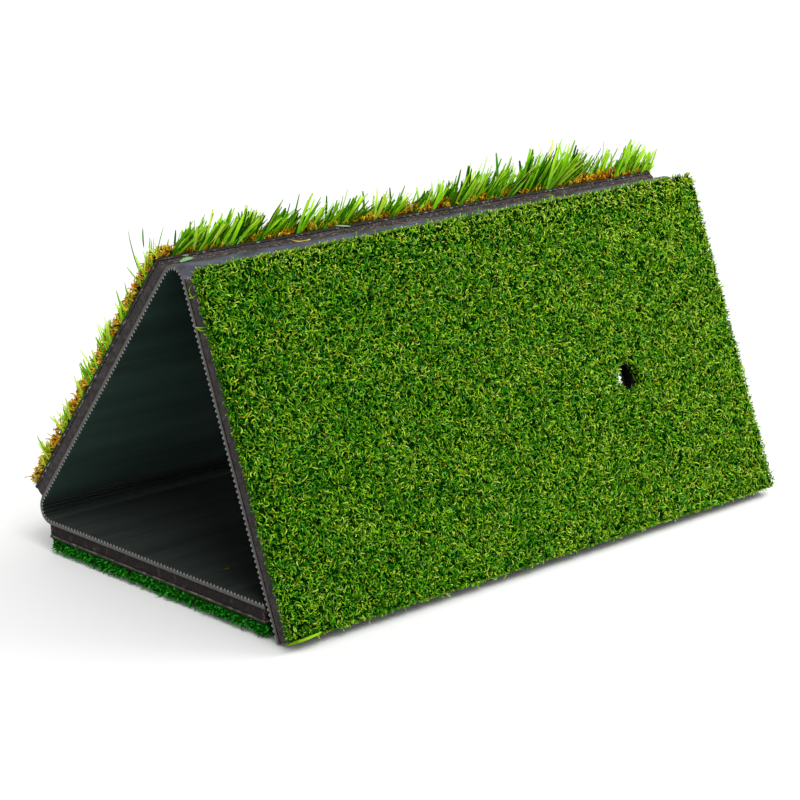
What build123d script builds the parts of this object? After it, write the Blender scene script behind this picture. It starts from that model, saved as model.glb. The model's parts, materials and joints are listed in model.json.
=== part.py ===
from build123d import *
import os
from cmath import exp, pi
from collections import namedtuple
from math import radians

# Three-turf golf hitting mat, stood up as a tent: tee panel on the floor with its turf
# down, rough panel rising from the rear fold, fairway panel coming down in front.
# Millimetres, +X along the folds, -Y towards the fairway panel, +Z up.
# Every piece is a section in the YZ plane drawn out along X.

# ---- Driving dimensions -------------------------------------------------------------
mat_width = 406.0  # along the folds
panel_depth = 203.0  # rough and fairway panels, fold to edge
tee_trim = 3.0  # the tee panel is cut this much shorter, to close behind the fairway
fold_gap = 21.0  # bare sheet between two pads, measured when flat
rear_corner = 51.52  # inside angle between tee and rough panels, degrees
apex_corner = 60.35  # inside angle between rough and fairway panels, degrees

sheet_web = 1.2  # solid thickness of the base sheet
rib_height = 1.8  # the ribs on its inner side
rib_pitch = 3.0

# Layers on the outer side of the base sheet, from the sheet outwards
glue_film = 0.3
pad = 6.5
latex_coat = 0.8
primary_backing = 0.8
tee_pile = 9.6
fairway_pile = 9.3
rough_thatch = 9.3
rough_blades = 19.0  # the part of the blades that stands above the thatch

tee_hole_radius = 10.5
tee_hole_x = 98.0
tee_hole_depth = 111.0  # from the fairway panel's fold edge

# ---- Derived sizes ------------------------------------------------------------------
base_thickness = sheet_web + rib_height
backed = glue_film + pad + latex_coat + primary_backing
tee_total = backed + tee_pile
fairway_total = backed + fairway_pile
rough_total = backed + rough_thatch + rough_blades
rear_turn = 180.0 - rear_corner
apex_turn = 180.0 - apex_corner

# ---- Where the panels stand ---------------------------------------------------------
# A frame is a point of the sheet's outer face, as the complex number y + iz, and the
# heading of the sheet there, in degrees from +Y. The inner side lies to the left.
Frame = namedtuple("Frame", "at heading")


def point(frame, along, inward):
    """The point so far along the frame's heading, and so far to its inner side."""
    return frame.at + complex(along, inward) * exp(1j * radians(frame.heading))


def after_panel(frame, depth):
    return Frame(point(frame, depth, 0), frame.heading)


def fold_radius(turn):
    return fold_gap / radians(turn)


def after_fold(frame, turn, share=1.0):
    """The frame after a share of a fold that turns the sheet by so many degrees."""
    radius = fold_radius(turn)
    swing = turn * share
    centre = point(frame, 0, radius)
    at = centre + (frame.at - centre) * exp(1j * radians(swing))
    return Frame(at, frame.heading + swing)


def lay_out(start):
    """Frames at the start of the tee, rough and fairway panels and of the two folds."""
    tee = Frame(start, 0.0)
    rear_fold = after_panel(tee, panel_depth - tee_trim)
    rough = after_fold(rear_fold, rear_turn)
    apex_fold = after_panel(rough, panel_depth)
    fairway = after_fold(apex_fold, apex_turn)
    return tee, rear_fold, rough, apex_fold, fairway


def front_and_back(frames):
    """The mat's lowest and highest Y: a fairway turf corner and a rough turf corner."""
    rough, fairway = frames[2], frames[4]
    front = point(fairway, panel_depth, -fairway_total).real
    back = point(rough, 0, -rough_total).real
    return front, back


unshifted = lay_out(complex(0, tee_total))
middle = sum(front_and_back(unshifted)) / 2
tee, rear_fold, rough, apex_fold, fairway = lay_out(complex(-middle, tee_total))


def half_fold_pivot(frame, turn):
    """The fixed point that carries the frame half a fold away from its folded place to
    where it lies when that half of the fold is flat."""
    folded = after_fold(frame, turn, 0.5).at
    flat = point(frame, fold_gap / 2, 0)
    back_turn = exp(-1j * radians(turn / 2))
    return (flat - back_turn * folded) / (1 - back_turn)


def mirrored_pivot(frame, turn):
    """The same point for the second half of the fold, mirrored in its middle line."""
    end = after_fold(frame, turn)
    offset = (half_fold_pivot(frame, turn) - frame.at) * exp(-1j * radians(frame.heading))
    return point(end, -offset.real, offset.imag)


pivots = {
    "rear_fold_lower": half_fold_pivot(rear_fold, rear_turn),
    "rear_fold_upper": mirrored_pivot(rear_fold, rear_turn),
    "apex_fold_rough_side": half_fold_pivot(apex_fold, apex_turn),
    "apex_fold_fairway_side": mirrored_pivot(apex_fold, apex_turn),
}


# ---- Sections -----------------------------------------------------------------------
def section_plane(frame):
    """X along the heading, Y to the inner side, normal along the mat's +X."""
    along = exp(1j * radians(frame.heading))
    return Plane(
        origin=(0, frame.at.real, frame.at.imag),
        x_dir=(0, along.real, along.imag),
        z_dir=(1, 0, 0),
    )


def drawn_out(frame, outline):
    return extrude(section_plane(frame) * make_face(outline), mat_width / 2, both=True)


def slab(frame, depth, inner, thickness):
    """A flat layer whose inner face lies so far outside the sheet's outer face."""
    corners = [
        (0, -inner),
        (depth, -inner),
        (depth, -inner - thickness),
        (0, -inner - thickness),
    ]
    return drawn_out(frame, Polyline(*corners, close=True))


def ribs(length):
    """Inner outline of a ribbed length, far end first: triangular ribs side by side."""
    count = round(length / rib_pitch)
    pitch = length / count
    outline = [(length, sheet_web)]
    for rib in reversed(range(count)):
        outline.append(((rib + 0.5) * pitch, base_thickness))
        outline.append((rib * pitch, sheet_web))
    return outline


def base_panel(frame, depth):
    return drawn_out(frame, Polyline((0, 0), (depth, 0), *ribs(depth), close=True))


def hinge_web(frame, turn):
    """The sheet between two pads, bent round the fold, with its ribs inside."""
    radius = fold_radius(turn)

    def bent(along, inward):
        spot = 1j * radius - 1j * (radius - inward) * exp(1j * along / radius)
        return (spot.real, spot.imag)

    inner = [bent(*corner) for corner in ribs(fold_gap)]
    start, middle_point, end = [bent(share * fold_gap, 0) for share in (0, 0.5, 1)]
    outline = ThreePointArc(start, middle_point, end) + Polyline(end, *inner, start)
    return drawn_out(frame, outline)


def panel_layers(name, frame, depth, turf):
    """The pieces of one panel, from the base sheet outwards, by node name."""
    layers = {f"{name}_base": base_panel(frame, depth)}
    stack = [
        ("pad_adhesive", glue_film),
        ("pad", pad),
        ("latex_coat", latex_coat),
        ("primary_backing", primary_backing),
    ]
    inner = 0.0
    for layer, thickness in stack + turf:
        layers[f"{name}_{layer}"] = slab(frame, depth, inner, thickness)
        inner += thickness
    return layers


# ---- The mat ------------------------------------------------------------------------
tee_layers = panel_layers("tee", tee, panel_depth - tee_trim, [("pile", tee_pile)])
rough_layers = panel_layers(
    "rough", rough, panel_depth, [("thatch", rough_thatch), ("blades", rough_blades)]
)
fairway_layers = panel_layers("fairway", fairway, panel_depth, [("pile", fairway_pile)])

# The hole for a rubber tee goes through every layer of the fairway panel
hole_plane = section_plane(fairway)
hole_centre = hole_plane.from_local_coords((tee_hole_depth, 0, tee_hole_x))
hole_axis = Plane(origin=hole_centre, z_dir=hole_plane.y_dir)
tee_hole = hole_axis * Cylinder(tee_hole_radius, 4 * fairway_total)
fairway_layers = {name: solid - tee_hole for name, solid in fairway_layers.items()}

webs = {
    "rear_hinge_web": hinge_web(rear_fold, rear_turn),
    "apex_hinge_web": hinge_web(apex_fold, apex_turn),
}

nodes = {**tee_layers, **rough_layers, **fairway_layers, **webs}

os.makedirs("parts", exist_ok=True)
for name, solid in nodes.items():
    export_step(solid, f"parts/{name}.step")

foot = point(fairway, panel_depth, base_thickness)
gap = ((point(tee, 0, base_thickness) - foot) * exp(-1j * radians(fairway.heading))).imag
print(f"fairway foot {foot.imag:.2f} above the floor, {gap:.2f} in front of the tee panel")
for name, pivot in pivots.items():
    print(f"{name} turns about y {pivot.real:.3f}, z {pivot.imag:.3f}")
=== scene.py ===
import json
import math

import bmesh
import bpy
import numpy as np
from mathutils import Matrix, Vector, noise
from mathutils.geometry import tessellate_polygon


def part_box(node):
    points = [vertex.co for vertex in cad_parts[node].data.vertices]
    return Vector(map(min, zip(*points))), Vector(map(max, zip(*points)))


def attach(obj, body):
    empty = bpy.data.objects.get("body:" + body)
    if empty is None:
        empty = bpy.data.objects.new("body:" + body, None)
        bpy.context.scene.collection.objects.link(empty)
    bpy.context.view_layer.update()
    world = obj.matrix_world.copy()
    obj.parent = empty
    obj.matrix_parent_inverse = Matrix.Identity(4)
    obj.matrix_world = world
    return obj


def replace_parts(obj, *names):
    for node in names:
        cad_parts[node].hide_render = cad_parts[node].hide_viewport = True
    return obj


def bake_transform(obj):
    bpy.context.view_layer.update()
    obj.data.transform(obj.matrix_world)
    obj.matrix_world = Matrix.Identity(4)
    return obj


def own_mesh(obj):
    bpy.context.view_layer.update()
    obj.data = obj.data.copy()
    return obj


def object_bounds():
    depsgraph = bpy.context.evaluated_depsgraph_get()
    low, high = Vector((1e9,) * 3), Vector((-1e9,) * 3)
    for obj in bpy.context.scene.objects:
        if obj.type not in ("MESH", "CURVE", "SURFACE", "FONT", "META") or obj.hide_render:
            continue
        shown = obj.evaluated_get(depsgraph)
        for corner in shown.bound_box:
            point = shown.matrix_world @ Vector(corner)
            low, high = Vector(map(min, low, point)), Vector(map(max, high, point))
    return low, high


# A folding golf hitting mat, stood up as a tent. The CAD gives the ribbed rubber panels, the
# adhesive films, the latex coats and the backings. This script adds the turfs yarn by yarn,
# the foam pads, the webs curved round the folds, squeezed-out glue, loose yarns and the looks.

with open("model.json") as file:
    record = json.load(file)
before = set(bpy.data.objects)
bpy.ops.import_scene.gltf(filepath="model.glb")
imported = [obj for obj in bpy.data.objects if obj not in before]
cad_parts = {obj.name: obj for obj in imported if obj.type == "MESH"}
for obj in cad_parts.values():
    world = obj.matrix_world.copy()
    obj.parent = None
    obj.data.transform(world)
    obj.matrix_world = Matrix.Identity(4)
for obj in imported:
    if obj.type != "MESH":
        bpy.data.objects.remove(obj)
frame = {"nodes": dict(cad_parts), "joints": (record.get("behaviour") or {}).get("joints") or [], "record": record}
cad_box = [list(corner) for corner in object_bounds()]

MM = 0.001
FULL_TURN = 2 * math.pi
FLOOR_CLEAR = 0.25  # nothing lies lower than this, mm


# ---- The three panels' own directions, from the record's joints ----
class Panel:
    """A panel's own frame in mm: x along the folds, s up the sheet, h outwards."""

    def __init__(self, name, heading):
        self.name = name
        self.body = f"{name}_panel"
        self.along = np.array([0.0, math.cos(heading), math.sin(heading)])
        self.out = np.array([0.0, math.sin(heading), -math.cos(heading)])

    def world(self, points):
        """World points in metres, from (..., x s h) in mm."""
        x, s, h = (points[..., i, None] for i in range(3))
        return (x * np.array([1.0, 0.0, 0.0]) + s * self.along + h * self.out) * MM

    def local(self, point):
        """A world point in metres as x, s and h in mm."""
        point = np.array(point) / MM
        return np.array([point[0], point @ self.along, point @ self.out])

    def span(self, layer):
        """Lowest and highest x, s and h of one of the panel's CAD layers."""
        mesh = frame["nodes"][f"{self.name}_{layer}"].data
        local = np.array([self.local(vertex.co) for vertex in mesh.vertices])
        return local.min(0), local.max(0)


def half_fold(joint):
    """What one joint of a fold turns through from the tent to the flat mat."""
    found = next(j for j in frame["joints"] if j["name"] == joint)
    return math.radians(found["range_deg"][1])


REAR_HALF = half_fold("rear_fold_lower")
APEX_HALF = half_fold("apex_fold_rough_side")
tee = Panel("tee", 0.0)
rough = Panel("rough", 2 * REAR_HALF)
fairway = Panel("fairway", 2 * REAR_HALF + 2 * APEX_HALF)

tee_hole = next(m for m in frame["record"]["mounts"] if m["name"] == "tee_hole")
HOLE = (*fairway.local(tee_hole["pos_m"])[:2], tee_hole["dims"]["r_mm"])  # x, s, radius


# ---- Shader nodes ----
# Noise scales are in bumps per metre. The stops of a ramp go from 0 to 1.
def material(name, roughness, specular=0.5):
    mat = bpy.data.materials.new(name)
    mat.use_nodes = True
    shader = mat.node_tree.nodes["Principled BSDF"]
    shader.inputs["Roughness"].default_value = roughness
    shader.inputs["Specular IOR Level"].default_value = specular
    return mat, mat.node_tree, shader


def put(tree, target, value):
    """Links a socket to an input, or sets the input's value."""
    if isinstance(value, bpy.types.NodeSocket):
        tree.links.new(value, target)
    else:
        target.default_value = value


def node(tree, kind, inputs, **settings):
    made = tree.nodes.new(kind)
    for key, value in settings.items():
        setattr(made, key, value)
    for key, value in inputs.items():
        put(tree, made.inputs[key], value)
    return made


def ramp(tree, factor, *stops):
    """A colour ramp; each stop is a position and a grey value or a colour."""
    made = node(tree, "ShaderNodeValToRGB", {"Fac": factor})
    elements = made.color_ramp.elements
    while len(elements) < len(stops):
        elements.new(0.5)
    for element, (position, colour) in zip(elements, stops, strict=True):
        element.position = position
        element.color = (*(colour if isinstance(colour, tuple) else (colour,) * 3), 1.0)
    return made.outputs["Color"]


def mix(tree, kind, factor, a, b):
    made = node(tree, "ShaderNodeMix", {}, data_type="RGBA", blend_type=kind)
    for index, value in ((0, factor), (6, a), (7, b)):
        put(tree, made.inputs[index], value)
    return made.outputs[2]


def placed(tree, stretch=(1.0, 1.0, 1.0)):
    """The object's own coordinates, in metres, scaled by stretch."""
    spot = node(tree, "ShaderNodeTexCoord", {}).outputs["Object"]
    return node(tree, "ShaderNodeMapping", {"Vector": spot, "Scale": stretch}).outputs[0]


def speckle(tree, scale, detail=3.0, stretch=(1.0, 1.0, 1.0)):
    inputs = {"Vector": placed(tree, stretch), "Scale": scale, "Detail": detail}
    return node(tree, "ShaderNodeTexNoise", inputs).outputs["Fac"]


def attribute(tree, name):
    return node(tree, "ShaderNodeAttribute", {}, attribute_name=name).outputs["Fac"]


def bump(tree, shader, height, strength, distance):
    inputs = {"Height": height, "Strength": strength, "Distance": distance}
    made = node(tree, "ShaderNodeBump", inputs)
    tree.links.new(made.outputs["Normal"], shader.inputs["Normal"])


# ---- Materials ----
YARN_SPECULAR = 0.04


def yarn_material(name, shades, root, roughness):
    """Yarn whose shade changes from fibre to fibre. Root is what its colour is multiplied
    by at its root, a grey value or a colour: painted shade, darker low on each yarn where
    the pile around it shades it."""
    mat, tree, shader = material(name, roughness, YARN_SPECULAR)
    colour = ramp(tree, attribute(tree, "shade"), *shades)
    # painted shade: the colour darkens towards each yarn's root, where the pile around it shades it
    root_shade = ramp(tree, attribute(tree, "along"), (0.0, root), (0.75, 1.0), (1.0, 1.0))
    streak = speckle(tree, 420.0)
    colour = mix(tree, "MULTIPLY", 1.0, colour, root_shade)
    colour = mix(tree, "MULTIPLY", 1.0, colour, ramp(tree, streak, (0.3, 0.8), (0.7, 1.0)))
    put(tree, shader.inputs["Base Color"], colour)
    gloss = ramp(tree, streak, (0.2, roughness - 0.1), (0.8, roughness + 0.15))
    put(tree, shader.inputs["Roughness"], gloss)
    return mat


# Rubber: each pair is the darker and the paler colour of what it names.
GREENISH = ((0.013, 0.033, 0.024), (0.033, 0.073, 0.056))
GREY = ((0.011, 0.017, 0.014), (0.027, 0.036, 0.032))
# painted light: the web rubber is given a paler colour to lift the shade in the fold's crease
LIT_CREASE = ((0.020, 0.030, 0.025), (0.050, 0.068, 0.056))
# the webs' outer faces: the rubber's blue-grey bloom, and a painted reflection of the sky those faces look up at
BLOOM_AND_SKY_SHEEN = ((0.020, 0.020, 0.034), (0.080, 0.078, 0.125))
CUT_RIBS = ((0.070, 0.067, 0.062), (0.270, 0.258, 0.240))
SCUFFED = (0.070, 0.075, 0.070)
WEB_SHEET = 1.2  # solid thickness of the rubber under its ribs, mm


def rubber_material(name, faces, teeth, bloom_and_sheen=None):
    """Moulded rubber, dark and streaked along the folds, its faces between two colours. Its
    cut ends are paler, and palest in the ribs: teeth makes a socket that is 1 at a rib's tip
    and 0 in the sheet. The last socket, if given, is 1 where the rubber gets a blue-grey bloom
    with a painted reflection of the sky."""
    mat, tree, shader = material(name, 0.5)
    normal = node(tree, "ShaderNodeNewGeometry", {}).outputs["Normal"]
    x = node(tree, "ShaderNodeSeparateXYZ", {0: normal}).outputs["X"]
    facing = node(tree, "ShaderNodeMath", {0: x}, operation="ABSOLUTE").outputs[0]
    cut = ramp(tree, facing, (0.8, 0.0), (0.95, 1.0))
    grain = speckle(tree, 900.0, 4.0)
    bloom = speckle(tree, 60.0, 5.0, (0.06, 1.0, 1.0))
    face = ramp(tree, bloom, (0.35, faces[0]), (0.75, faces[1]))
    scuffs = speckle(tree, 260.0, 4.0, (0.03, 1.0, 1.0))
    scuffed = ramp(tree, scuffs, (0.58, 0.0), (0.75, 0.5))
    face = mix(tree, "MIX", scuffed, face, (*SCUFFED, 1.0))
    # the rubber's bloom with a painted sky reflection on the faces that look out
    if bloom_and_sheen:
        patches = speckle(tree, 280.0, 5.0, (0.25, 1.0, 1.0))
        bluish = ramp(tree, patches, (0.38, BLOOM_AND_SKY_SHEEN[0]), (0.62, BLOOM_AND_SKY_SHEEN[1]))
        face = mix(tree, "MIX", bloom_and_sheen(tree), face, bluish)
    tooth = ramp(tree, teeth(tree), (0.0, CUT_RIBS[0]), (0.7, CUT_RIBS[1]))
    end = mix(tree, "MULTIPLY", 1.0, tooth, ramp(tree, grain, (0.3, 0.6), (0.7, 1.1)))
    put(tree, shader.inputs["Base Color"], mix(tree, "MIX", cut, face, end))
    put(tree, shader.inputs["Roughness"], ramp(tree, scuffs, (0.35, 0.62), (0.75, 0.42)))
    bump(tree, shader, grain, 0.3, 0.0002)
    return mat


def panel_teeth(panel):
    """Makes the teeth socket of a panel's rubber, worked out from where each point is."""
    low, high = panel.span("base")
    top_of_sheet = high[2] - WEB_SHEET

    def socket(tree):
        inputs = {0: placed(tree), 1: tuple(panel.out / MM)}
        height = node(tree, "ShaderNodeVectorMath", inputs, operation="DOT_PRODUCT")
        span = {"Value": height.outputs["Value"], "From Min": top_of_sheet, "From Max": low[2]}
        return node(tree, "ShaderNodeMapRange", span).outputs["Result"]

    return socket


# the palest streaks of the foam
PALEST_FOAM = (0.08, 0.06, 0.06)
GLUE_FLECKS = (0.30, 0.20, 0.17)
BORE_SHADE = 0.12  # painted shade: what the foam's colour is multiplied by in the tee hole's bore


def foam_material(name, dark, pale):
    """Cut foam rubber, open-pored, torn in streaks between two browns. It has tan flecks of
    glue on the edges along the folds, and painted shade makes it darkest in the tee hole's bore."""
    mat, tree, shader = material(name, 0.85, 0.2)
    cells = {"Vector": placed(tree), "Scale": 1100.0}
    pores = node(tree, "ShaderNodeTexVoronoi", cells).outputs["Distance"]
    patches = speckle(tree, 260.0, 6.0, (0.3, 1.0, 1.0))
    colour = ramp(tree, patches, (0.35, dark), (0.6, pale), (0.8, PALEST_FOAM))
    colour = mix(tree, "MULTIPLY", 1.0, colour, ramp(tree, pores, (0.1, 0.4), (0.55, 1.0)))
    flecks = ramp(tree, speckle(tree, 1100.0, 6.0, (0.5, 1.0, 1.0)), (0.54, 0.0), (0.70, 0.8))
    flecked = mix(tree, "MULTIPLY", 1.0, flecks, attribute(tree, "fold_edge"))
    colour = mix(tree, "MIX", flecked, colour, (*GLUE_FLECKS, 1.0))
    # painted shade inside the tee hole's bore
    shaded = ramp(tree, attribute(tree, "bore"), (0.0, 1.0), (1.0, BORE_SHADE))
    colour = mix(tree, "MULTIPLY", 1.0, colour, shaded)
    put(tree, shader.inputs["Base Color"], colour)
    put(tree, shader.inputs["Roughness"], ramp(tree, patches, (0.2, 0.78), (0.8, 0.95)))
    bump(tree, shader, pores, 0.6, 0.0003)
    return mat


def mottled_material(name, low, high, scale, roughness, specular=0.3, turn=(0.4, 0.7)):
    """A coat that drifts between two colours, bumpy where it is pale. Turn is where in the
    noise, from 0 to 1, the first colour ends and the second begins."""
    mat, tree, shader = material(name, roughness, specular)
    tone = speckle(tree, scale, 5.0)
    put(tree, shader.inputs["Base Color"], ramp(tree, tone, (turn[0], low), (turn[1], high)))
    gloss = ramp(tree, tone, (0.2, roughness - 0.1), (0.8, roughness + 0.1))
    put(tree, shader.inputs["Roughness"], gloss)
    bump(tree, shader, tone, 0.4, 0.0003)
    return mat


def woven_material():
    """Dark woven backing, with bars along the folds and up the sheet."""
    mat, tree, shader = material("woven_backing", 0.8)
    bars = {"Vector": placed(tree), "Scale": 260.0}
    warp = node(tree, "ShaderNodeTexWave", bars, bands_direction="X").outputs["Color"]
    weft = node(tree, "ShaderNodeTexWave", bars, bands_direction="Z").outputs["Color"]
    weave = mix(tree, "MULTIPLY", 1.0, warp, weft)
    tone = ramp(tree, weave, (0.1, (0.006, 0.010, 0.005)), (0.9, (0.030, 0.042, 0.022)))
    put(tree, shader.inputs["Base Color"], tone)
    put(tree, shader.inputs["Roughness"], ramp(tree, weave, (0.0, 0.9), (1.0, 0.7)))
    bump(tree, shader, weave, 0.4, 0.0002)
    return mat


# Yarn colours
DEEP = (0.005, 0.070, 0.002)
MID = (0.022, 0.180, 0.003)
BRIGHT = (0.085, 0.380, 0.005)
SEA = (0.150, 0.460, 0.070)
LIME = (0.320, 0.600, 0.010)
STRAW = (0.560, 0.720, 0.090)
OLIVE = (0.330, 0.330, 0.008)
# painted light: neon and mint are lime yarn colours pushed brighter, for light shining through the thin blades
LIT_NEON = (0.480, 1.000, 0.015)
LIT_MINT = (0.820, 1.000, 0.110)
RUST = (0.450, 0.140, 0.004)
AMBER = (0.920, 0.420, 0.010)
YELLOW = (1.000, 0.760, 0.070)
EMERALD = (0.004, 0.140, 0.004)
JADE = (0.050, 0.520, 0.035)
PALE_MINT = (0.300, 0.500, 0.300)
LEAFY_ROOT_SHADE = (0.28, 0.60, 0.50)  # painted shade: what a blade's colour is multiplied by at its root, darker and greener where the blades around it shade it

web_rubber = rubber_material(
    "web_rubber", LIT_CREASE, lambda tree: attribute(tree, "tooth"),
    lambda tree: attribute(tree, "outside"),
)
# painted shade: the tee pad's foam is a darker copy of the other pads' foam
tee_foam = foam_material("tee_foam", (0.008, 0.006, 0.005), (0.016, 0.012, 0.010))
foam = foam_material("foam_rubber", (0.026, 0.022, 0.022), (0.054, 0.047, 0.046))
glue = mottled_material(
    "dried_glue", (0.10, 0.07, 0.055), (0.80, 0.72, 0.66), 260.0, 0.5, turn=(0.46, 0.58)
)
glue_film = mottled_material("glue_film", (0.022, 0.019, 0.018), (0.07, 0.055, 0.045), 300.0, 0.6)
latex = mottled_material("latex", (0.022, 0.019, 0.016), (0.18, 0.15, 0.11), 220.0, 0.7)
dark_latex = mottled_material(
    "dark_latex", (0.020, 0.017, 0.015), (0.28, 0.27, 0.27), 330.0, 0.7, turn=(0.54, 0.66)
)
weave = woven_material()
# painted shade: the fairway's root bed is near black, darker than its darkest yarn, for the shade deep in the pile
shaded_green_bed = mottled_material(
    "shaded_green_roots", (0.001, 0.008, 0.0005), (0.006, 0.032, 0.001), 300.0, 0.9, 0.0
)
tee_bed = mottled_material(
    "tee_roots", (0.002, 0.030, 0.001), (0.010, 0.120, 0.004), 300.0, 0.9, 0.0
)
brown_bed = mottled_material(
    "brown_roots", (0.012, 0.008, 0.002), (0.110, 0.042, 0.003), 260.0, 0.9, 0.0
)
# Each yarn's shades of colour, the painted shade that darkens it at its root, and its roughness
YARN_LOOKS = {
    "deep_yarn": (((0.0, DEEP), (0.6, MID), (1.0, MID)), 0.25, 0.45),
    "green_yarn": (((0.0, MID), (0.7, BRIGHT), (1.0, SEA)), 0.2, 0.42),
    "lime_yarn": (((0.0, BRIGHT), (1.0, LIME)), 0.2, 0.42),
    "shaded_blade": (((0.0, DEEP), (1.0, BRIGHT)), 0.4, 0.4),
    "leafy_blade": (((0.0, BRIGHT), (1.0, LIME)), LEAFY_ROOT_SHADE, 0.4),
    "neon_blade": (((0.0, LIME), (0.5, LIT_NEON), (1.0, LIT_NEON)), LEAFY_ROOT_SHADE, 0.4),
    "minty_blade": (((0.0, LIT_NEON), (1.0, LIT_MINT)), LEAFY_ROOT_SHADE, 0.4),
    "pallid_blade": (((0.0, SEA), (1.0, PALE_MINT)), 0.9, 0.4),
    "straw_yarn": (((0.0, LIME), (1.0, STRAW)), 0.2, 0.42),
    "olive_yarn": (((0.0, MID), (0.5, OLIVE), (1.0, LIME)), 0.2, 0.45),
    "emerald_yarn": (((0.0, EMERALD), (1.0, JADE)), 0.3, 0.4),
    "rust_yarn": (((0.0, RUST), (0.7, AMBER), (1.0, AMBER)), 0.3, 0.55),
    "yellow_yarn": (((0.0, AMBER), (0.6, YELLOW), (1.0, OLIVE)), 0.35, 0.5),
}
yarns = {name.split("_")[0]: yarn_material(name, *look) for name, look in YARN_LOOKS.items()}


# ---- Meshes ----
def linked(name, data):
    """A new object in the scene."""
    made = bpy.data.objects.new(name, data)
    bpy.context.scene.collection.objects.link(made)
    return made


def new_piece(name, mesh, mat, body=None):
    """An object of the mesh, smooth, with its material, on the body if one is given."""
    piece = linked(name, mesh)
    mesh.materials.append(mat)
    mesh.shade_smooth()
    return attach(piece, body) if body else piece


def quad_mesh(name, points, quads):
    """A mesh of the quads, from world points in metres."""
    mesh = bpy.data.meshes.new(name)
    mesh.vertices.add(len(points))
    mesh.vertices.foreach_set("co", points.astype(np.float32).ravel())
    mesh.loops.add(quads.size)
    mesh.loops.foreach_set("vertex_index", quads.astype(np.int32).ravel())
    mesh.polygons.add(len(quads))
    mesh.polygons.foreach_set("loop_start", np.arange(0, quads.size, 4, dtype=np.int32))
    mesh.update(calc_edges=True)
    return mesh


def keep_values(mesh, values):
    """Stores a number for each point of the mesh, under each key."""
    for key, value in values.items():
        layer = mesh.attributes.new(key, "FLOAT", "POINT")
        layer.data.foreach_set("value", np.ascontiguousarray(value, np.float32).ravel())


def turn_outwards(mesh, sharp_degrees):
    """Turns a closed mesh's faces outwards and marks its sharp edges."""
    cleaner = bmesh.new()
    cleaner.from_mesh(mesh)
    bmesh.ops.recalc_face_normals(cleaner, faces=cleaner.faces)
    cleaner.to_mesh(mesh)
    cleaner.free()
    mesh.shade_smooth()
    mesh.set_sharp_from_angle(angle=math.radians(sharp_degrees))


def unit(vectors):
    """The vectors at a length of 1."""
    length = np.linalg.norm(vectors, axis=-1, keepdims=True)
    return vectors / np.maximum(length, 1e-9)


def drift(x, s, size, seed):
    """A smooth random field, mostly from -1 to 1, with bumps about so many mm across."""
    rng = np.random.default_rng(seed)
    waves = 9
    total = np.zeros_like(x)
    for _ in range(waves):
        angle, phase = rng.uniform(0, FULL_TURN, 2)
        rate = FULL_TURN / (size * rng.uniform(1.5, 3.5))
        total += np.sin((x * math.cos(angle) + s * math.sin(angle)) * rate + phase)
    return total / math.sqrt(waves)


# ---- Yarns ----
def grown(roots, tilt, azimuth, length, stations):
    """Centre lines (yarn, station, x s h). Each yarn's tilt from the panel's normal and its
    azimuth, from +x towards +s, go evenly from a value at its root to one at its tip."""
    share = (np.arange(stations - 1) + 0.5) / (stations - 1)
    tilts = tilt[0][:, None] + (tilt[1] - tilt[0])[:, None] * share
    turns = azimuth[0][:, None] + (azimuth[1] - azimuth[0])[:, None] * share
    steps = np.stack(
        [np.sin(tilts) * np.cos(turns), np.sin(tilts) * np.sin(turns), np.cos(tilts)], -1
    )
    steps *= (length / (stations - 1))[:, None, None]
    return np.concatenate([roots[:, None], roots[:, None] + np.cumsum(steps, 1)], 1)


def level(azimuth):
    """Directions in the panel's plane, as x s h."""
    return np.stack([np.cos(azimuth), np.sin(azimuth), np.zeros_like(azimuth)], -1)


def ribbons(name, panel, lines, width, across, shade, mat, profile):
    """One piece of flat yarns along centre lines. Across is where each yarn's width points
    and profile its width at each station."""
    count, stations = lines.shape[:2]
    direction = unit(np.gradient(lines, axis=1))
    across = across[:, None]
    across = unit(across - (across * direction).sum(-1, keepdims=True) * direction)
    half = (width[:, None] * np.array(profile) / 2)[..., None]
    points = panel.world(np.stack([lines - across * half, lines + across * half], 2))
    points[..., 2] = np.maximum(points[..., 2], FLOOR_CLEAR * MM)
    index = np.arange(count * stations * 2).reshape(count, stations, 2)
    corners = [index[:, :-1, 0], index[:, :-1, 1], index[:, 1:, 1], index[:, 1:, 0]]
    quads = np.stack(corners, -1).reshape(-1, 4)
    mesh = quad_mesh(name, points.reshape(-1, 3), quads)
    along = np.linspace(0, 1, stations)
    keep_values(mesh, {
        "shade": np.broadcast_to(shade[:, None, None], index.shape),
        "along": np.broadcast_to(along[None, :, None], index.shape),
    })
    lay_out_map(mesh, quads, count, stations)
    return new_piece(name, mesh, mat, panel.body)


def lay_out_map(mesh, quads, count, stations):
    """Gives each yarn its own cell of the UV map, with its length up the cell."""
    columns = math.ceil(math.sqrt(count))
    yarn, rest = np.divmod(quads.ravel(), stations * 2)
    station, side = np.divmod(rest, 2)
    margin, used = 0.1, 0.8
    u = (yarn % columns + margin + used * side) / columns
    v = (yarn // columns + margin + used * station / (stations - 1)) / columns
    layer = mesh.uv_layers.new(name="OFBake")
    layer.data.foreach_set("uv", np.stack([u, v], -1).astype(np.float32).ravel())


GRID_JITTER = 0.8  # how far the points of a grid may move, as a share of its pitch


def jittered(rng, low, high, pitch_x, pitch_s):
    """Points of a grid over a rectangle, each moved at random, as x and s."""
    nx = round((high[0] - low[0]) / pitch_x)
    ns = round((high[1] - low[1]) / pitch_s)
    x, s = np.meshgrid(np.arange(nx) + 0.5, np.arange(ns) + 0.5, indexing="ij")
    x = x + GRID_JITTER * rng.uniform(-0.5, 0.5, x.shape)
    s = s + GRID_JITTER * rng.uniform(-0.5, 0.5, s.shape)
    x = low[0] + x.ravel() * (high[0] - low[0]) / nx
    s = low[1] + s.ravel() * (high[1] - low[1]) / ns
    return x, s


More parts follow.
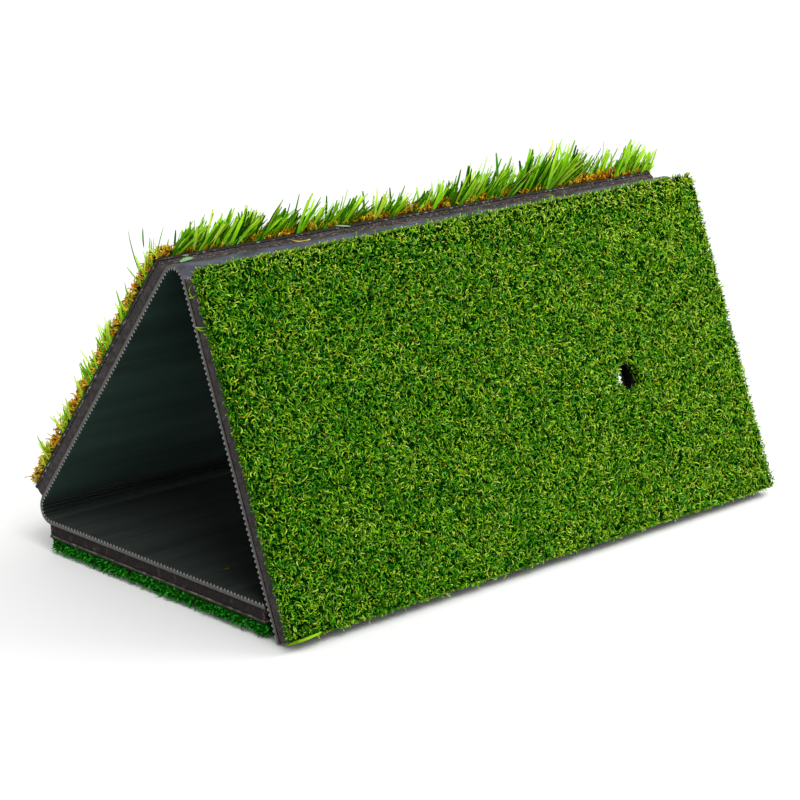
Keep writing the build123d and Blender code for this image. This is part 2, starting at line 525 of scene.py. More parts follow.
TURF_CORNER = 3.0  # radius of a turf's corners, mm


def in_rounded(x, s, low, high):
    """Whether each point lies inside the rectangle with its corners rounded."""
    dx = np.maximum(low[0] + TURF_CORNER - x, x - high[0] + TURF_CORNER).clip(0)
    ds = np.maximum(low[1] + TURF_CORNER - s, s - high[1] + TURF_CORNER).clip(0)
    return np.hypot(dx, ds) <= TURF_CORNER


# ---- Curled turf ----
NO_BULGE = (0.0, 0.0, 0.0, 0.0)
BULGE_WIDTH = 12.0  # how far in from a side the pile moves with it, mm
BULGE_HEIGHT = 0.6  # share of the pile's height above which it has moved all the way
CURL_STATIONS = 5
CURL_PROFILE = (0.8, 1.0, 1.0, 0.9, 0.55)
CURL_INSET = 1.1  # how far inside the slab's sides the outermost roots stand, mm
HOLE_MARGIN = 1.0  # how far back from a hole's edge the roots of the top stand, mm


def side_roots(rng, low, high, pitch, inset):
    """Roots scattered over a slab's four sides, as x, s, and the azimuth the side faces."""
    wide, tall = high[0] - low[0], high[1] - low[1]
    height = high[2] - low[2]
    sides = []
    for facing, run in ((math.pi, tall), (0.0, tall), (-math.pi / 2, wide), (math.pi / 2, wide)):
        count = round(run * height / pitch**2)
        at = rng.uniform(inset, run - inset, count)
        if run == tall:
            x = np.full(count, low[0] + inset if facing else high[0] - inset)
            sides.append((x, low[1] + at, np.full(count, facing)))
        else:
            s = np.full(count, low[1] + inset if facing < 0 else high[1] - inset)
            sides.append((low[0] + at, s, np.full(count, facing)))
    return sides


def bulged(points, low, high, over):
    """Points of a pile that swells over its sides: its top stands out by so many mm on the
    left, right, lower and upper side, and its base stays. A tuple gives evenly spaced
    values along the side."""
    x, s, h = (points[..., i] for i in range(3))
    rise = np.clip((h - low[2]) / (high[2] - low[2]) / BULGE_HEIGHT, 0, 1)
    ends = ((low[1], high[1]), (low[1], high[1]), (low[0], high[0]), (low[0], high[0]))
    left, right, lower, upper = (
        np.interp(at, np.linspace(*span, np.size(value)), np.atleast_1d(value))
        for at, span, value in zip((s, s, x, x), ends, over, strict=True)
    )
    near_left, near_right, near_lower, near_upper = (
        np.clip(1 - inwards / BULGE_WIDTH, 0, 1)
        for inwards in (x - low[0], high[0] - x, s - low[1], high[1] - s)
    )
    moved_x = x + rise * (right * near_right - left * near_left)
    moved_s = s + rise * (upper * near_upper - lower * near_lower)
    return np.stack([moved_x, moved_s, h], -1)


def hole_roots(rng, hole, height, pitch, inset):
    """Roots scattered over a hole's wall, as x, s, and the azimuth from there to its axis."""
    count = round(FULL_TURN * hole[2] * height / pitch**2)
    at = rng.uniform(0, FULL_TURN, count)
    radius = hole[2] + inset
    return hole[0] + radius * np.cos(at), hole[1] + radius * np.sin(at), at + math.pi


def curls(panel, layer, rng, pitch, length, reach, buried, over=NO_BULGE, hole=None):
    """Centre lines of a dense curled pile, and the azimuth each starts in. The curls of the
    top start where the root bed ends, the share buried of the way up. Reach is how far, in
    mm, the curls stand out of the left, right, lower and upper sides, and into any hole. Over
    is how far those sides bulge. Angles are in radians."""
    low, high = panel.span(layer)
    height = high[2] - low[2]
    x, s = jittered(rng, low + CURL_INSET, high - CURL_INSET, pitch, pitch)
    kept = in_rounded(x, s, low, high)
    if hole:
        kept &= np.hypot(x - hole[0], s - hole[1]) > hole[2] + HOLE_MARGIN
    x, s = x[kept], s[kept]
    count = len(x)
    share = buried + rng.uniform(-0.08, 0.08, count)
    # Each part holds roots, azimuths, tilts at the root and at the tip, swirls and lengths.
    parts = [(
        np.column_stack([x, s, low[2] + height * share]),
        rng.uniform(0, FULL_TURN, count),
        rng.uniform(0.1, 1.2, count),
        rng.uniform(1.1, 2.2, count),
        rng.uniform(-5.0, 5.0, count),
        length * rng.uniform(0.7, 1.4, count),
    )]
    sides = side_roots(rng, low, high, pitch, CURL_INSET)
    if hole:
        sides.append(hole_roots(rng, hole, height, pitch, CURL_INSET))
    for (x, s, facing), out in zip(sides, reach, strict=True):
        count = len(x)
        share = rng.uniform(0.03, buried + 0.12, count)
        tilt = 1.45 - 0.7 * share + rng.uniform(-0.35, 0.35, count)
        parts.append((
            np.column_stack([x, s, low[2] + height * share]),
            facing + rng.normal(0, 0.55, count),
            tilt,
            tilt + rng.uniform(-0.9, 0.7, count),
            rng.uniform(-2.0, 2.0, count),
            (out + CURL_INSET) * rng.uniform(0.75, 1.25, count),
        ))
    roots, azimuth, start, end, swirl, size = (np.concatenate(p) for p in zip(*parts, strict=True))
    lines = grown(roots, (start, end), (azimuth, azimuth + swirl), size, CURL_STATIONS)
    return lines + (bulged(roots, low, high, over) - roots)[:, None], azimuth


# ---- Fairway turf: short and dense, in mixed greens ----
FAIRWAY_BULGE = ((2.8, 4.2), 0.0, (3.4, 5.4, 6.6), 0.4)  # its pile hangs over the apex fold
FAIRWAY_REACH = (2.2, 0.6, 1.2, 0.7, 2.2)
FAIRWAY_PITCH = 1.12  # mm from yarn to yarn
LIT_APEX_EDGE = 8.0  # how far down from the apex the yarns are paler, mm: painted light lifting the dark rim
# The least tone of each sort of yarn, from dark to pale
FAIRWAY_SORTS = {"deep": -math.inf, "green": 0.24, "olive": 0.52, "lime": 0.62, "straw": 0.86}


def sorted_by_tone(tone, least):
    """Each sort's name, and which yarns have a tone from its least up to the next one's."""
    most = [*list(least.values())[1:], math.inf]
    return [(name, (tone >= least[name]) & (tone < top)) for name, top in zip(least, most)]


def fairway_turf():
    rng = np.random.default_rng(61)
    low, high = fairway.span("pile")
    length, buried = 4.2, 0.6
    lines, azimuth = curls(
        fairway, "pile", rng, FAIRWAY_PITCH, length, FAIRWAY_REACH, buried, FAIRWAY_BULGE, HOLE
    )
    count = len(lines)
    x, s = lines[:, 0, 0], lines[:, 0, 1]
    width = rng.uniform(0.5, 0.82, count)
    across = level(azimuth + math.pi / 2 + rng.normal(0, 0.6, count))
    tone = rng.uniform(0, 1, count) + 0.05 * drift(x, s, 22.0, 8)
    # painted light: yarns paler near the apex edge, and a little paler towards the far end, where the light falls
    tone += 0.25 * np.clip(1 - (s - low[1]) / LIT_APEX_EDGE, 0, 1) + 0.06 * x / high[0]
    for yarn, own in sorted_by_tone(tone, FAIRWAY_SORTS):
        shade = rng.uniform(0, 1, own.sum())
        piece = ribbons(
            f"fairway_{yarn}_yarns", fairway, lines[own], width[own], across[own], shade,
            yarns[yarn], CURL_PROFILE,
        )
        soft_turf(piece, fairway, "pile", low[2])
    bed = root_bed(
        "fairway_roots", fairway, "pile", 0.63, 2.0, shaded_green_bed, FAIRWAY_BULGE, HOLE
    )
    soft_turf(bed, fairway, "pile", low[2])


def soft_turf(piece, panel, layer, base):
    """The piece stands for the CAD layer. Base, in mm, is not used."""
    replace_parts(piece, f"{panel.name}_{layer}")
    anchor = panel.world(np.array([0.0, 0.0, base]))
    tuple(panel.out)
    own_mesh(piece)


# ---- Rough turf: long blades in tufts, over curled thatch ----
ROUGH_TOP = cad_box[1][2] + 0.012  # no blade stands higher than this, m
# How long the blades are along the folds, as x in mm and shares of their usual length
ROUGH_GROWTH = (
    (-203, -150, -60, -10, 20, 45, 75, 110, 160, 180, 195),
    (0.85, 0.96, 0.94, 0.80, 0.98, 1.25, 1.10, 1.34, 1.25, 1.0, 0.7),
)
TUFT_PITCH = (6.6, 5.4)  # from tuft to tuft, mm in x and s
TUFT_BLADES = 15
TUFT_SPREAD = 1.1  # how far a blade stands from its tuft's middle, mm
BLADE_INSET = 0.6  # how far inside the slab's sides the outermost blades stand, mm
BLADE_LENGTH = 26.5  # usual length, mm
BLADE_PROFILE = (0.8, 1.0, 1.0, 1.0, 0.9, 0.5)
FRINGE_PROFILE = (0.8, 1.0, 1.0, 0.9, 0.4)
MOST_TURNED = 1.5  # furthest azimuth from +x, so that no blade leans out of the near end
STRAIGHTEST, FLATTEST = 0.02, 1.32  # limits of a blade's tilt at its root
NEAR_END = 16.0  # along how much of the near end the blades are smaller and turned up, mm
LIT_FROM, LIT_OVER = 80.0, 100.0  # painted light: the blades get paler from this x, over so many mm, towards the lit far end
BLADE_SORTS = {"shaded": -math.inf, "leafy": 0.28, "neon": 0.42, "minty": 0.76}


def rough_tufts(rng, low, high):
    """Where the tufts stand, as x and s. Most of those along the near end are worn off."""
    x, s = jittered(rng, low, high, *TUFT_PITCH)
    inside = in_rounded(x, s, low, high)
    worn_width = 8 + 5 * drift(s, s, 12.0, 26)
    worn_share = 0.8
    worn = (x < low[0] + worn_width) & (rng.uniform(0, 1, len(x)) < worn_share)
    return x[inside & ~worn], s[inside & ~worn]


def rough_turf():
    rng = np.random.default_rng(62)
    low, _ = rough.span("thatch")
    _, high = rough.span("blades")
    tuft_x, tuft_s = rough_tufts(rng, low, high)
    tufts = len(tuft_x)
    count = tufts * TUFT_BLADES

    def per_tuft(values):
        return np.repeat(values, TUFT_BLADES)

    x = per_tuft(tuft_x) + rng.normal(0, TUFT_SPREAD, count)
    s = per_tuft(tuft_s) + rng.normal(0, TUFT_SPREAD, count)
    x = np.clip(x, low[0] + BLADE_INSET, high[0] - BLADE_INSET)
    s = np.clip(s, low[1] + BLADE_INSET, high[1] - BLADE_INSET)
    near_end = np.clip(1 - (x - low[0]) / NEAR_END, 0, 1)
    tuft_azimuth = 0.2 + 0.2 * drift(tuft_x, tuft_s, 30.0, 21) + rng.normal(0, 0.35, tufts)
    azimuth = per_tuft(tuft_azimuth) + rng.normal(0, 0.35, count) + 1.2 * near_end
    azimuth = np.clip(azimuth, -MOST_TURNED, MOST_TURNED)
    tuft_tilt = 1.12 + 0.04 * drift(tuft_x, tuft_s, 24.0, 22) + rng.normal(0, 0.06, tufts)
    start = per_tuft(tuft_tilt) + rng.normal(0, 0.11, count)
    end = start + rng.uniform(-0.25, 0.2, count)
    start = np.clip(start, STRAIGHTEST, FLATTEST)
    length = per_tuft(BLADE_LENGTH + rng.normal(0, 1.2, tufts)) * rng.uniform(0.84, 1.04, count)
    length *= np.interp(x, *ROUGH_GROWTH) * (1 - 0.4 * near_end)
    roots = np.column_stack([x, s, np.full(count, low[2])])
    turn = azimuth + rng.normal(0, 0.25, count)
    lines = grown(roots, (start, end), (azimuth, turn), length, len(BLADE_PROFILE))
    lines = trimmed(lines, rough, high[0] + rng.uniform(3.0, 12.0, count), ROUGH_TOP)
    width = rng.uniform(1.5, 2.3, count) * (1 - 0.45 * near_end)
    across = level(azimuth + math.pi / 2 + rng.normal(0, 0.5, count))
    tone = per_tuft(0.5 + 0.15 * drift(tuft_x, tuft_s, 12.0, 24)) + rng.uniform(-0.5, 0.5, count)
    # painted light: blades paler towards the far end, where the light falls
    tone += 0.2 * np.clip((x - LIT_FROM) / LIT_OVER, 0, 1)
    for yarn, own in sorted_by_tone(tone, BLADE_SORTS):
        piece = ribbons(
            f"rough_{yarn}_blades", rough, lines[own], width[own], across[own],
            rng.uniform(0, 1, own.sum()), yarns[yarn], BLADE_PROFILE,
        )
        soft_turf(piece, rough, "blades", low[2])
    rough_fringe(rng)
    rough_thatch(rng)


def rough_fringe(rng):
    """Short blades that stand in patches among the thatch of the near end."""
    low, high = rough.span("thatch")
    tried, end_gap, bare_below = 480, 2.0, 0.2
    s = rng.uniform(low[1] + end_gap, high[1] - end_gap, tried)
    s = s[drift(s, s, 14.0, 25) + rng.normal(0, 0.3, len(s)) > bare_below]
    count = len(s)
    roots = np.column_stack([low[0] + rng.uniform(-0.6, 4.0, count), s, np.full(count, low[2])])
    tilt = rng.uniform(0.4, 1.1, count)
    azimuth = rng.normal(1.4, 0.45, count)
    length = rng.uniform(9.0, 17.0, count)
    tilts = (tilt, tilt + rng.uniform(0, 0.4, count))
    lines = grown(roots, tilts, (azimuth, azimuth), length, len(FRINGE_PROFILE))
    lines = trimmed(lines, rough, high[0], ROUGH_TOP)
    tone = rng.uniform(0, 1, count)
    for yarn, own in sorted_by_tone(tone, {"leafy": 0.0, "minty": 0.4}):
        piece = ribbons(
            f"rough_{yarn}_fringe", rough, lines[own], rng.uniform(0.7, 1.2, own.sum()),
            level(azimuth[own] + math.pi / 2), rng.uniform(0, 1, own.sum()), yarns[yarn],
            FRINGE_PROFILE,
        )
        soft_turf(piece, rough, "blades", low[2])


def trimmed(lines, panel, end_x, top_z):
    """Yarns made smaller where they would pass their own end_x in mm or the height top_z
    in metres, down to a tenth of their size."""
    roots, tips = lines[:, 0], lines[:, -1]
    root_z, tip_z = panel.world(roots)[:, 2], panel.world(tips)[:, 2]
    past_end = (end_x - roots[:, 0]) / np.maximum(tips[:, 0] - roots[:, 0], 1e-6)
    past_top = (top_z - root_z) / np.maximum(tip_z - root_z, 1e-6)
    kept = np.clip(np.minimum(past_end, past_top), 0.1, 1.0)
    return roots[:, None] + (lines - roots[:, None]) * kept[:, None, None]


def rough_thatch(rng):
    """Curls between the blades, rust and yellow, and mostly yellow at the near end."""
    low, high = rough.span("thatch")
    pitch, length, reach, buried = 1.6, 5.0, (1.4, 1.5, 0.8, 2.0), 0.5
    lines, azimuth = curls(rough, "thatch", rng, pitch, length, reach, buried)
    x, s = lines[:, 0, 0], lines[:, 0, 1]
    overshoot, yellow_end = 1.5, 10.0
    lines[..., 2] = np.clip(lines[..., 2], low[2], high[2] + overshoot)
    tone = rng.uniform(0, 1, len(x)) + 0.3 * drift(x, s, 14.0, 31)
    tone += 0.7 * np.clip(1 - (x - low[0]) / yellow_end, 0, 1)
    for yarn, own in sorted_by_tone(tone, {"rust": -math.inf, "yellow": 0.62}):
        piece = ribbons(
            f"rough_{yarn}_thatch", rough, lines[own], rng.uniform(0.8, 1.3, own.sum()),
            level(azimuth[own] + math.pi / 2), rng.uniform(0, 1, own.sum()), yarns[yarn],
            CURL_PROFILE,
        )
        soft_turf(piece, rough, "thatch", low[2])
    bed = root_bed("rough_roots", rough, "thatch", 0.45, 3.0, brown_bed)
    soft_turf(bed, rough, "thatch", low[2])


# ---- Tee turf: dense pile that the mat stands on ----
def tee_turf():
    rng = np.random.default_rng(63)
    pitch, length, reach, buried = 2.0, 4.4, (1.0, 1.0, 1.0, 1.0), 0.6
    lines, azimuth = curls(tee, "pile", rng, pitch, length, reach, buried)
    count = len(lines)
    width = rng.uniform(1.0, 1.6, count)
    shade = np.clip(rng.beta(1.3, 2.4, count), 0, 1)
    across = level(azimuth + math.pi / 2 + rng.normal(0, 0.6, count))
    piece = ribbons(
        "tee_yarns", tee, lines, width, across, shade, yarns["emerald"], CURL_PROFILE
    )
    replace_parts(piece, "tee_pile")
    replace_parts(root_bed("tee_roots", tee, "pile", 0.7, 3.0, tee_bed), "tee_pile")


def root_bed(name, panel, layer, share, spacing, mat, over=NO_BULGE, hole=None):
    """The dense roots of a turf: a closed slab with a lumpy top, the share of the pile's
    height and set in from its sides, with any hole left out. Spacing is its mesh's, in mm."""
    low, high = panel.span(layer)
    inset, lumpiness = 1.2, 0.18
    xs = np.linspace(low[0] + inset, high[0] - inset, round((high[0] - low[0]) / spacing))
    ss = np.linspace(low[1] + inset, high[1] - inset, round((high[1] - low[1]) / spacing))
    grid_x, grid_s = np.meshgrid(xs, ss, indexing="ij")
    rng = np.random.default_rng(71)
    lumps = 0.7 * drift(grid_x, grid_s, 7.0, 72) + rng.uniform(-0.7, 0.7, grid_x.shape)
    top = low[2] + (high[2] - low[2]) * share * (1 + lumpiness * lumps)
    shape = grid_x.shape
    points = np.stack([np.stack([grid_x, grid_s, h], -1) for h in (np.full(shape, low[2]), top)])
    points = bulged(points, low, high, over)
    index = np.arange(2 * shape[0] * shape[1]).reshape(2, *shape)
    kept = np.ones((shape[0] - 1, shape[1] - 1), bool)
    if hole:
        mid_x = (xs[:-1] + xs[1:])[:, None] / 2
        mid_s = (ss[:-1] + ss[1:])[None, :] / 2
        kept = np.hypot(mid_x - hole[0], mid_s - hole[1]) > hole[2] + spacing
    a, b = index[:, :-1, :-1][:, kept], index[:, 1:, :-1][:, kept]
    c, d = index[:, 1:, 1:][:, kept], index[:, :-1, 1:][:, kept]
    quads = [np.stack([a[0], d[0], c[0], b[0]], -1), np.stack([a[1], b[1], c[1], d[1]], -1)]
    framed = np.pad(kept, 1)
    sides = (((-1, 0), d, a), ((1, 0), b, c), ((0, -1), a, b), ((0, 1), c, d))
    for (dx, ds), p, q in sides:
        beside = framed[1 + dx : kept.shape[0] + 1 + dx, 1 + ds : kept.shape[1] + 1 + ds]
        bare = ~beside[kept]
        quads.append(np.stack([p[0], q[0], q[1], p[1]], -1)[bare])
    mesh = quad_mesh(name, panel.world(points).reshape(-1, 3), np.concatenate(quads))
    turn_outwards(mesh, 180)
    return new_piece(name, mesh, mat, panel.body)


# ---- Foam pads ----
def rectangle_points(low, high, spacing):
    """Points round a rectangle, evenly spaced on each side."""
    (x0, s0), (x1, s1) = low[:2], high[:2]
    corners = np.array([(x0, s0), (x1, s0), (x1, s1), (x0, s1)])
    points = []
    for start, end in zip(corners, np.roll(corners, -1, axis=0), strict=True):
        steps = round(np.linalg.norm(end - start) / spacing)
        points += [start + (end - start) * i / steps for i in range(steps)]
    return np.array(points)


def circle_points(centre, radius, count):
    """Points round a circle, evenly spaced."""
    angles = np.arange(count) * FULL_TURN / count
    return np.stack([np.cos(angles), np.sin(angles)], -1) * radius + np.array(centre)


def torn(loop, h):
    """How far the cut side lies in at each point of a loop, mm: foam never cuts clean."""
    coarse, fine = 0.25, 1.1
    spots = [Vector((x, s, h)) for x, s in loop]
    return np.array([0.22 * noise.noise(p * coarse) + 0.2 * noise.noise(p * fine) for p in spots])


# The rings of a pad's cut side: shares of its height, and how far they are set in, mm
PAD_RINGS = np.array([0.0, 0.07, 0.25, 0.42, 0.6, 0.78, 0.93, 1.0])
PAD_DULLED = np.array([0.4, 0.08, 0.0, 0.0, 0.0, 0.0, 0.08, 0.4])
PAD_SPACING = 1.5  # between the points of a ring, mm
PAD_INSET = 0.3  # how far the cut lies inside the CAD slab, mm
BORE_POINTS = 48
FLECKED_EDGE = 2.0  # how far in from the edges along the folds the glue flecks reach, mm


def foam_pad(panel, mat, hole=None):
    """The pad under a turf: its cut sides are uneven and their edges are dulled."""
    low, high = panel.span("pad")
    name = f"{panel.name}_foam"
    heights = low[2] + (high[2] - low[2]) * PAD_RINGS
    outline = rectangle_points(low, high, PAD_SPACING)
    near = 0.01
    on_edge = (np.abs(outline - low[:2]) < near) | (np.abs(outline - high[:2]) < near)
    loops, inwards = [outline], [np.sign((low + high)[:2] / 2 - outline) * on_edge]
    if hole:
        ring = circle_points(hole[:2], hole[2], BORE_POINTS)
        loops.append(ring)
        inwards.append(unit(ring - np.array(hole[:2])))
    points, faces, caps, first = [], [], [], 0
    for loop, inward in zip(loops, inwards, strict=True):
        count = len(loop)
        for h, dulled in zip(heights, PAD_DULLED, strict=True):
            ring = loop + inward * (PAD_INSET + dulled + torn(loop, h))[:, None]
            points.append(np.column_stack([ring, np.full(count, h)]))
        index = first + np.arange(count * len(heights)).reshape(len(heights), count)
        after = np.roll(index, -1, axis=1)
        quads = np.stack([index[:-1], after[:-1], after[1:], index[1:]], -1)
        faces += quads.reshape(-1, 4).tolist()
        caps.append((index[0], index[-1]))
        first += count * len(heights)
    points = np.concatenate(points)
    for face in (0, 1):
        rings = [cap[face] for cap in caps]
        order = np.concatenate(rings)
        flat = [[Vector((*points[i][:2], 0.0)) for i in ring] for ring in rings]
        faces += [[int(order[i]) for i in corner] for corner in tessellate_polygon(flat)]
    mesh = bpy.data.meshes.new(name)
    mesh.from_pydata(panel.world(points).tolist(), [], faces)
    outer = len(outline) * len(heights)
    on_s = np.minimum(points[:, 1] - low[1], high[1] - points[:, 1]) < FLECKED_EDGE
    keep_values(mesh, {"fold_edge": on_s, "bore": np.arange(len(points)) >= outer})
    turn_outwards(mesh, 40)
    piece = new_piece(name, mesh, mat, panel.body)
    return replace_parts(piece, f"{panel.name}_pad")


# ---- Hinge webs: bare sheet curved round each fold ----
WEB_RIBS = 7
WEB_STEPS = 17  # points along the outer side of each half of a web


def hinge_web(hinge, before, after, joint_half):
    """Both halves of the web at a hinge body, between the panels before and after it. Each
    half is a fixed curve round its side of the fold."""
    low, high = before.span("base")
    start_edge = before.world(np.array([0.0, high[1], high[2]]))
    after_low, after_high = after.span("base")
    end_edge = after.world(np.array([0.0, after_low[1], after_high[2]]))
    radius = np.linalg.norm(end_edge - start_edge) / MM / (2 * math.sin(joint_half))
    gap = radius * 2 * joint_half
    rib_pitch = gap / WEB_RIBS

    def bent(at, inward):
        """The section point so far along the fold and so far to the inner side."""
        angle = at / radius
        s = high[1] + (radius - inward) * math.sin(angle)
        h = high[2] - radius + (radius - inward) * math.cos(angle)
        return s, h

    for side, (begin, end), bodies in (
        ("lower", (0.0, gap / 2), (before.body, hinge)),
        ("upper", (gap / 2, gap), (hinge, after.body)),
    ):
        turns = np.arange(0, 2 * WEB_RIBS + 1) * rib_pitch / 2
        inner = sorted({begin, end, *(t for t in turns if begin < t < end)}, reverse=True)
        full = high[2] - low[2]
        outer = [bent(at, 0.0) for at in np.linspace(begin, end, WEB_STEPS)]
        rises = [1 - abs(2 * ((at / rib_pitch) % 1.0) - 1) for at in inner]
        section = outer + [
            bent(at, WEB_SHEET + (full - WEB_SHEET) * rise)
            for at, rise in zip(inner, rises, strict=True)
        ]
        values = {
            "tooth": [0.0] * len(outer) + rises,
            "outside": [1.0] * len(outer) + [0.0] * len(inner),
        }
        piece = strip(f"{hinge}_web_{side}", before, section, values, (low[0], high[0]))
        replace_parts(piece, f"{hinge}_web")
        edges = [before.world(np.array([0.0, *bent(at, 0.0)])) for at in (begin, end)]
        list(bodies)
        tuple(edges[0])
        tuple(edges[1])
        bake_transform(piece)


def strip(name, panel, section, values, ends):
    """Web rubber with a closed section of s and h points, drawn out along x from end to end,
    with values kept at each point."""
    count = len(section)
    rings = [np.column_stack([np.full(count, x), np.array(section)]) for x in ends]
    points = panel.world(np.concatenate(rings))
    faces = [[i, count + i, count + (i + 1) % count, (i + 1) % count] for i in range(count)]
    faces += [list(range(count)), list(reversed(range(count, 2 * count)))]
    mesh = bpy.data.meshes.new(name)
    mesh.from_pydata(points.tolist(), [], faces)
    keep_values(mesh, {key: np.tile(value, len(ends)) for key, value in values.items()})
    turn_outwards(mesh, 35)
    return new_piece(name, mesh, web_rubber)


# ---- Squeezed-out glue ----
BEAD_STEP = 1.3  # mm along the edge
BEAD_CORNERS = 6
THINNEST, THICKEST, AT_THE_ENDS = 0.08, 1.2, 0.05  # radius of a bead, mm


def glue_bead(name, panel, far_edge, seed):
    """Glue squeezed from under a pad's edge: beads of uneven size along the whole edge."""
    low, high = panel.span("pad_adhesive")
    edge = high[1] if far_edge else low[1]
    rng = np.random.default_rng(seed)
    xs = np.arange(low[0] + 1, high[0] - 1, BEAD_STEP)
    size = 0.3 + 0.8 * rng.beta(1.2, 2.6, len(xs)) + 0.25 * drift(xs, xs, 12.0, seed)
    size = np.clip(size, THINNEST, THICKEST)
    size[[0, -1]] = AT_THE_ENDS
    corners = np.arange(BEAD_CORNERS) * FULL_TURN / BEAD_CORNERS
    wander = rng.normal(0, 0.08, (len(xs), 2))
    rings = np.zeros((len(xs), BEAD_CORNERS, 3))
    rings[..., 0] = xs[:, None]
    rings[..., 1] = edge + wander[:, :1] + size[:, None] * np.cos(corners)
    rings[..., 2] = (low[2] + high[2]) / 2 + wander[:, 1:] + size[:, None] * np.sin(corners)
    index = np.arange(rings.size // 3).reshape(len(xs), BEAD_CORNERS)
    after = np.roll(index, -1, axis=1)
    faces = np.stack([index[:-1], index[1:], after[1:], after[:-1]], -1).reshape(-1, 4).tolist()
    faces += [index[0].tolist(), index[-1].tolist()]
    mesh = bpy.data.meshes.new(name)
    mesh.from_pydata(panel.world(rings).reshape(-1, 3).tolist(), [], faces)
    turn_outwards(mesh, 180)
    return new_piece(name, mesh, glue, panel.body)


# ---- Loose yarns ----
STRAY_PROFILE = (0.5, 0.8, 1.0, 1.0, 1.0, 0.8, 0.4)


def loose_yarns(name, panel, bows, widths, mat, across=(0.0, 1.0, 0.0)):
    """Stray yarns. Each is a bow through x s h points in mm: an end, a pull and an end."""
    bows = np.array(bows)
    share = np.linspace(0, 1, len(STRAY_PROFILE))[None, :, None]
    lines = bows[:, :1] * (1 - share) ** 2 + bows[:, 1:2] * 2 * share * (1 - share)
    lines = lines + bows[:, 2:] * share**2
    count = len(bows)
    shade = np.linspace(0.6, 1.0, count)
    across = np.tile(across, (count, 1))
    return ribbons(name, panel, lines, np.array(widths), across, shade, mat, STRAY_PROFILE)


def stray_yarns():
    """Yarns that came loose: on the glued edge at the apex, on the near ends, and inside."""
    upwards = (0.0, 0.0, 1.0)
    mint = [
        [(-190.4, 165.2, 104.6), (-185.0, 165.9, 105.8), (-181.0, 165.2, 105.8)],
        [(-72.6, 165.2, 110.5), (-68.0, 165.8, 109.0), (-62.7, 165.2, 108.1)],
    ]
    loose_yarns(
        "rough_mint_strays", rough, mint, (2.2, 1.1), yarns["pallid"], upwards
    )
    tan = [
        [(-109.8, 165.3, 106.5), (-107.0, 166.4, 101.4), (-96.4, 165.3, 104.0)],
        [(99.3, 165.3, 104.4), (103.0, 166.0, 105.4), (107.3, 165.3, 103.1)],
    ]
    loose_yarns(
        "rough_tan_strays", rough, tan, (0.8, 0.8), yarns["yellow"], upwards
    )
    upright = [
        [(-201.0, 143.0, 111.0), (-203.5, 149.0, 124.0), (-202.0, 157.0, 137.5)],
        [(-200.0, 158.0, 124.0), (-200.0, 161.0, 127.5), (-200.0, 166.0, 131.0)],
        [(-200.0, 160.0, 112.0), (-199.0, 168.0, 117.0), (-198.0, 178.0, 120.0)],
    ]
    loose_yarns(
        "rough_upright_strays", rough, upright, (1.0, 1.4, 1.1), yarns["shaded"]
    )
    looped = [
        [(-202.6, -157.0, 114.5), (-204.4, -154.5, 107.5), (-202.8, -149.0, 112.0)],
        [(-203.0, -151.0, 117.0), (-204.6, -149.0, 111.0), (-203.4, -151.0, 108.5)],
        [(-203.0, -132.5, 117.0), (-204.4, -133.0, 112.0), (-203.4, -134.5, 107.0)],
        [(-203.0, -131.0, 116.5), (-204.2, -131.0, 112.0), (-203.4, -133.5, 108.5)],
        [(-210.0, 42.5, 120.5), (-200.0, 42.8, 126.0), (-188.0, 41.0, 127.0)],
    ]
    loose_yarns(
        "fairway_strays", fairway, looped, (0.8, 0.7, 0.8, 0.7, 1.5), yarns["lime"]
    )
    inside = [[(-189.0, -48.0, -21.4), (-185.0, -46.8, -22.3), (-181.3, -47.2, -21.6)]]
    loose_yarns("tee_stray", tee, inside, (1.6,), yarns["minty"], (0.0, 0.7, 0.7))


# ---- The mat ----
fairway_turf()
rough_turf()
tee_turf()
foam_pad(tee, tee_foam)
foam_pad(rough, foam)
foam_pad(fairway, foam, HOLE)
hinge_web("rear_hinge", tee, rough, REAR_HALF)
hinge_web("apex_hinge", rough, fairway, APEX_HALF)
glue_bead("tee_rear_glue", tee, True, 81)
glue_bead("rough_rear_glue", rough, False, 82)
glue_bead("rough_apex_glue", rough, True, 83)
glue_bead("fairway_apex_glue", fairway, False, 84)
stray_yarns()

for panel in (tee, rough, fairway):
    looks = {
        "base": rubber_material(
            f"{panel.name}_rubber", GREY if panel is tee else GREENISH, panel_teeth(panel)
        ),
        "pad_adhesive": glue_film,
        "latex_coat": latex if panel is tee else dark_latex,
        "primary_backing": weave,
    }
    for layer, look in looks.items():
        mesh = frame["nodes"][f"{panel.name}_{layer}"].data
        mesh.materials.clear()
        mesh.materials.append(look)


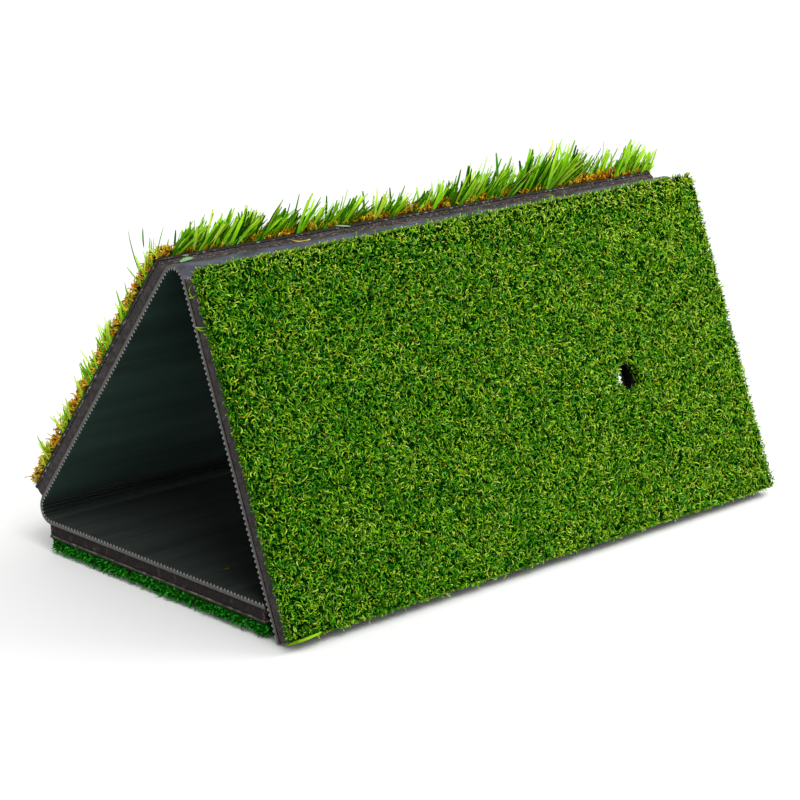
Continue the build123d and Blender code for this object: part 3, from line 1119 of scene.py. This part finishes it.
# ---- Floor, light and camera ----
def floor():
    mesh = bpy.data.meshes.new("floor")
    far = 30.0
    corners = [(-far, -far, 0), (far, -far, 0), (far, far, 0), (-far, far, 0)]
    mesh.from_pydata(corners, [], [(0, 1, 2, 3)])
    mat, _, shader = material("floor_paint", 0.9, 0.0)
    shader.inputs["Base Color"].default_value = (0.95, 0.95, 0.95, 1)
    mesh.materials.append(mat)
    linked("floor", mesh)


def rotate(piece, rotation):
    piece.rotation_mode = "QUATERNION"
    piece.rotation_quaternion = rotation


def soft_light(name, towards, power, softness):
    """Even light from one direction, its softness the angle that it comes in, in degrees."""
    data = bpy.data.lights.new(name, "SUN")
    data.angle = math.radians(softness)
    data.energy = power
    rotate(linked(name, data), Vector(towards).to_track_quat("Z", "Y"))


def studio():
    """White surroundings, a soft light from above the near end, and a fill at the far end."""
    world = bpy.data.worlds.new("studio")
    bpy.context.scene.world = world
    world.use_nodes = True
    background = world.node_tree.nodes["Background"]
    background.inputs["Color"].default_value = (1.0, 1.0, 1.0, 1)
    background.inputs["Strength"].default_value = 0.78
    soft_light("key", (-0.2, -0.55, 0.8), 1.28, 30.0)
    data = bpy.data.lights.new("far_end_fill", "AREA")
    data.size = 0.6
    data.energy = 2.5
    fill = linked("far_end_fill", data)
    fill.location = (0.5, -0.45, 0.6)
    rotate(fill, fill.location.to_track_quat("Z", "Y"))
    bpy.context.scene.view_settings.view_transform = "Standard"


def camera():
    """Looks at the near end and the fairway panel from a little above, through a long lens.
    The view was fitted to the panels' corners."""
    azimuth, elevation = math.radians(-43.08), math.radians(15.34)
    back = Vector((
        math.sin(azimuth) * math.cos(elevation),
        -math.cos(azimuth) * math.cos(elevation),
        math.sin(elevation),
    ))
    data = bpy.data.cameras.new("camera")
    data.sensor_width = 36.0
    data.lens = 106.5
    data.clip_end = 100.0
    made = linked("camera", data)
    tee_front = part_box("tee_pile")[0].y
    aside, before, above = 0.96925, 0.92608, 0.4641  # metres from the mat's middle and front
    made.location = (-aside, tee_front - before, above)
    rotate(made, (-back).to_track_quat("-Z", "Y"))
    bpy.context.scene.camera = made


floor()
studio()
camera()
